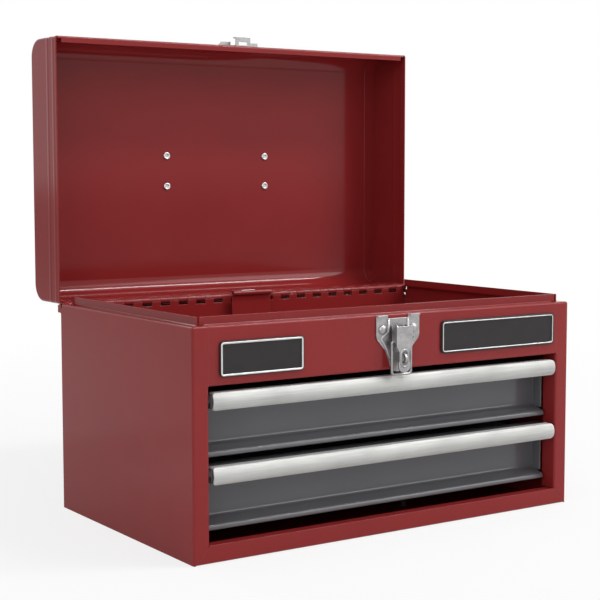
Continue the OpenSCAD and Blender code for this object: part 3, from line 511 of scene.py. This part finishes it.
gutterEnd = {  # millimetres
    "thick": 1.0, "depth": 6.4, "height": 7,
    "out": 0.05, "inward": 0.1, "below": 0.6}  # gaps to the back panel's side, rear and top
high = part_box("back_panel")[1]
closers = bmesh.new()
for side in (-1, 1):  # turned-in tab that closes each end of the gutter under the hinge
    box = bmesh.ops.create_cube(closers, size=1.0)
    size = Vector((gutterEnd["thick"], gutterEnd["depth"], gutterEnd["height"])) * mm
    spot = Vector((side * (high.x + gutterEnd["out"] * mm + size.x / 2),
                   high.y - gutterEnd["inward"] * mm - size.y / 2,
                   high.z - gutterEnd["below"] * mm - size.z / 2))
    for corner in box["verts"]:
        corner.co = Vector([corner.co[k] * size[k] + spot[k] for k in range(3)])
addPiece("gutterEnds", closers, "case", [redEnamel])
print("latch ribs, hinge ends and gutter ends made")


badgeSmall = {  # millimetres
    "corner": 3.2, "leastCorner": 0.6,
    "border": 0.8,   # dark border outside the bright line
    "line": 1.5,     # width of the bright line
    "recess": 1.1,   # depth of the field inside it
    "soft": 0.25,    # size of the rounding at each edge
    "steps": 8}
badgeWide = {**badgeSmall, "corner": 4, "border": 1.4, "line": 0.9}


def roundedLoop(width, height, corner, steps):
    # points of a rounded rectangle about its middle, anticlockwise
    points = []
    for turn, (sx, sz) in enumerate(((1, 1), (-1, 1), (-1, -1), (1, -1))):
        for k in range(steps + 1):
            angle = math.radians(90 * turn + 90 * k / steps)
            points.append((sx * (width / 2 - corner) + corner * math.cos(angle),
                           sz * (height / 2 - corner) + corner * math.sin(angle)))
    return points


def makeBadge(name, nodeName, shape):
    low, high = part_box(nodeName)
    middle, size = (low + high) / 2, high - low
    soft, deep = shape["soft"] * mm, shape["recess"] * mm
    start = shape["border"] * mm
    end = start + shape["line"] * mm
    steps = [  # inset from the outline, and depth behind the front
        (0, size.y), (0, soft * 2), (soft * 0.3, soft * 1.3), (soft, soft), (start, soft),
        (start + soft * 0.3, soft * 0.2), (start + soft, 0), (end - soft, 0), (end, soft),
        (end + soft, deep)]
    bright = range(4, 8)  # the strips between the steps that make the bright line
    work = bmesh.new()
    loops = []
    for inset, depth in steps:
        corner = max(shape["corner"] * mm - inset, shape["leastCorner"] * mm)
        points = roundedLoop(size.x - 2 * inset, size.z - 2 * inset, corner, shape["steps"])
        loops.append([work.verts.new((middle.x + x, low.y + depth, middle.z + z))
                      for x, z in points])
    for k in range(len(loops) - 1):
        for i in range(len(loops[0])):
            j = (i + 1) % len(loops[0])
            face = work.faces.new((
                loops[k][i], loops[k][j], loops[k + 1][j], loops[k + 1][i]))
            face.material_index = 1 if k in bright else 0
            face.smooth = k > 0
    work.faces.new(loops[-1])
    work.faces.new(list(reversed(loops[0])))
    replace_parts(addPiece(name, work, "case", [badgeField, badgeLine]), nodeName)


makeBadge("badgeLeft", "badge_left", badgeSmall)
makeBadge("badgeRight", "badge_right", badgeWide)
print("badges made")


floorLook = {
    "half": 30, "drop": 0.0004,  # metres: half its width, and how far it lies below the box
    "near": 0.35, "far": 1.6,    # metres: where its fade to white starts and ends
    "colour": "#EBEBEB",
    "white": 0.78,     # share of plain white near the object
    "mirrored": 0.15}  # how much of that white the gloss on the object shows
roomLook = {"light": 0.4, "seen": 1.0}  # strength as light, and as seen directly or mirrored


def makeFloor(look):
    # pale floor that keeps the shadow near the object and fades into the white further out
    mesh = bpy.data.meshes.new("floor")
    half = look["half"]
    mesh.from_pydata([(-half, -half, 0), (half, -half, 0), (half, half, 0), (-half, half, 0)],
                     [], [(0, 1, 2, 3)])
    floor = bpy.data.objects.new("floor", mesh)
    floor.location.z = -look["drop"]
    bpy.context.scene.collection.objects.link(floor)
    material, tree, place = startMaterial("paleFloor")
    matt = addNode(tree, "ShaderNodeBsdfDiffuse", {"Color": linear(look["colour"])})
    glow = addNode(tree, "ShaderNodeEmission", {"Color": (1, 1, 1, 1), "Strength": 1.0})
    ray = addNode(tree, "ShaderNodeLightPath").outputs
    mirrored = addNode(tree, "ShaderNodeMath", {0: ray["Is Glossy Ray"], 1: look["mirrored"]},
                       operation="MULTIPLY")
    seen = addNode(tree, "ShaderNodeMath", {0: ray["Is Camera Ray"], 1: mirrored.outputs[0]},
                   operation="MAXIMUM")
    seenAll = addNode(tree, "ShaderNodeMath", {
        0: seen.outputs[0], 1: ray["Is Transmission Ray"]}, operation="MAXIMUM")
    distance = addNode(tree, "ShaderNodeVectorMath", {0: place},
                       operation="LENGTH").outputs["Value"]
    white = addNode(tree, "ShaderNodeMapRange", {
        "Value": distance, "From Min": look["near"], "From Max": look["far"],
        "To Min": look["white"], "To Max": 1.0}, interpolation_type="SMOOTHSTEP")
    share = addNode(tree, "ShaderNodeMath", {0: seenAll.outputs[0], 1: white.outputs[0]},
                    operation="MULTIPLY")
    mix = addNode(tree, "ShaderNodeMixShader", {
        0: share.outputs[0], 1: matt.outputs[0], 2: glow.outputs[0]})
    addNode(tree, "ShaderNodeOutputMaterial", {"Surface": mix.outputs[0]})
    mesh.materials.append(material)


def makeWorld(look):
    # soft white room, seen as plain white by the camera and in the gloss
    world = bpy.data.worlds.new("studio")
    world.use_nodes = True
    tree = world.node_tree
    tree.nodes.clear()
    room = addNode(tree, "ShaderNodeBackground", {
        "Color": (1, 1, 1, 1), "Strength": look["light"]})
    white = addNode(tree, "ShaderNodeBackground", {
        "Color": (1, 1, 1, 1), "Strength": look["seen"]})
    ray = addNode(tree, "ShaderNodeLightPath").outputs
    seen = addNode(tree, "ShaderNodeMath", {0: ray["Is Camera Ray"], 1: ray["Is Glossy Ray"]},
                   operation="MAXIMUM")
    seenAll = addNode(tree, "ShaderNodeMath", {
        0: seen.outputs[0], 1: ray["Is Transmission Ray"]}, operation="MAXIMUM")
    mix = addNode(tree, "ShaderNodeMixShader", {
        0: seenAll.outputs[0], 1: room.outputs[0], 2: white.outputs[0]})
    addNode(tree, "ShaderNodeOutputWorld", {"Surface": mix.outputs[0]})
    bpy.context.scene.world = world


def addLamp(name, place, aim, size, power):
    lamp = bpy.data.lights.new(name, "AREA")
    lamp.shape = "RECTANGLE"
    lamp.size, lamp.size_y = size
    lamp.energy = power
    holder = bpy.data.objects.new(name, lamp)
    holder.location = place
    holder.rotation_euler = (Vector(aim) - Vector(place)).to_track_quat("-Z", "Y").to_euler()
    bpy.context.scene.collection.objects.link(holder)


lamps = {  # place, aim, size in metres, power in watts
    "topSoft": ((0.2, -0.4, 2.4), (0, 0, 0.2), (3.0, 3.0), 14),
    "frontRight": ((2.2, -2.1, 1.9), (0, 0, 0.2), (1.8, 1.4), 29),
    "frontLeft": ((-2.4, -1.5, 1.2), (0, 0, 0.2), (2.0, 2.0), 20),
    "stripFront": ((1.2, -0.85, 2.15), (1.2, -0.1, 0.2), (1.1, 0.24), 25),  # line in the bends
    "stripRear": ((-0.3, 2.2, 1.7), (-0.2, 0, 0.2), (0.9, 0.4), 8),
}
makeFloor(floorLook)
makeWorld(roomLook)
for lampName, settings in lamps.items():
    addLamp(lampName, *settings)

view = {
    "place": (-0.75753, -1.10606, 0.31462), "along": (0.55335, 0.82831, -0.08778),
    "rollDeg": -0.05, "lens": 85.44, "sensor": 36}
camera = bpy.data.cameras.new("camera")
camera.lens = view["lens"]
camera.sensor_width = view["sensor"]
cameraHolder = bpy.data.objects.new("camera", camera)
cameraHolder.location = view["place"]
cameraHolder.rotation_mode = "QUATERNION"
roll = Euler((0, 0, math.radians(view["rollDeg"]))).to_quaternion()
cameraHolder.rotation_quaternion = Vector(view["along"]).to_track_quat("-Z", "Y") @ roll
bpy.context.scene.collection.objects.link(cameraHolder)
bpy.context.scene.camera = cameraHolder
bpy.context.scene.view_settings.view_transform = "Standard"
print("light and camera set")
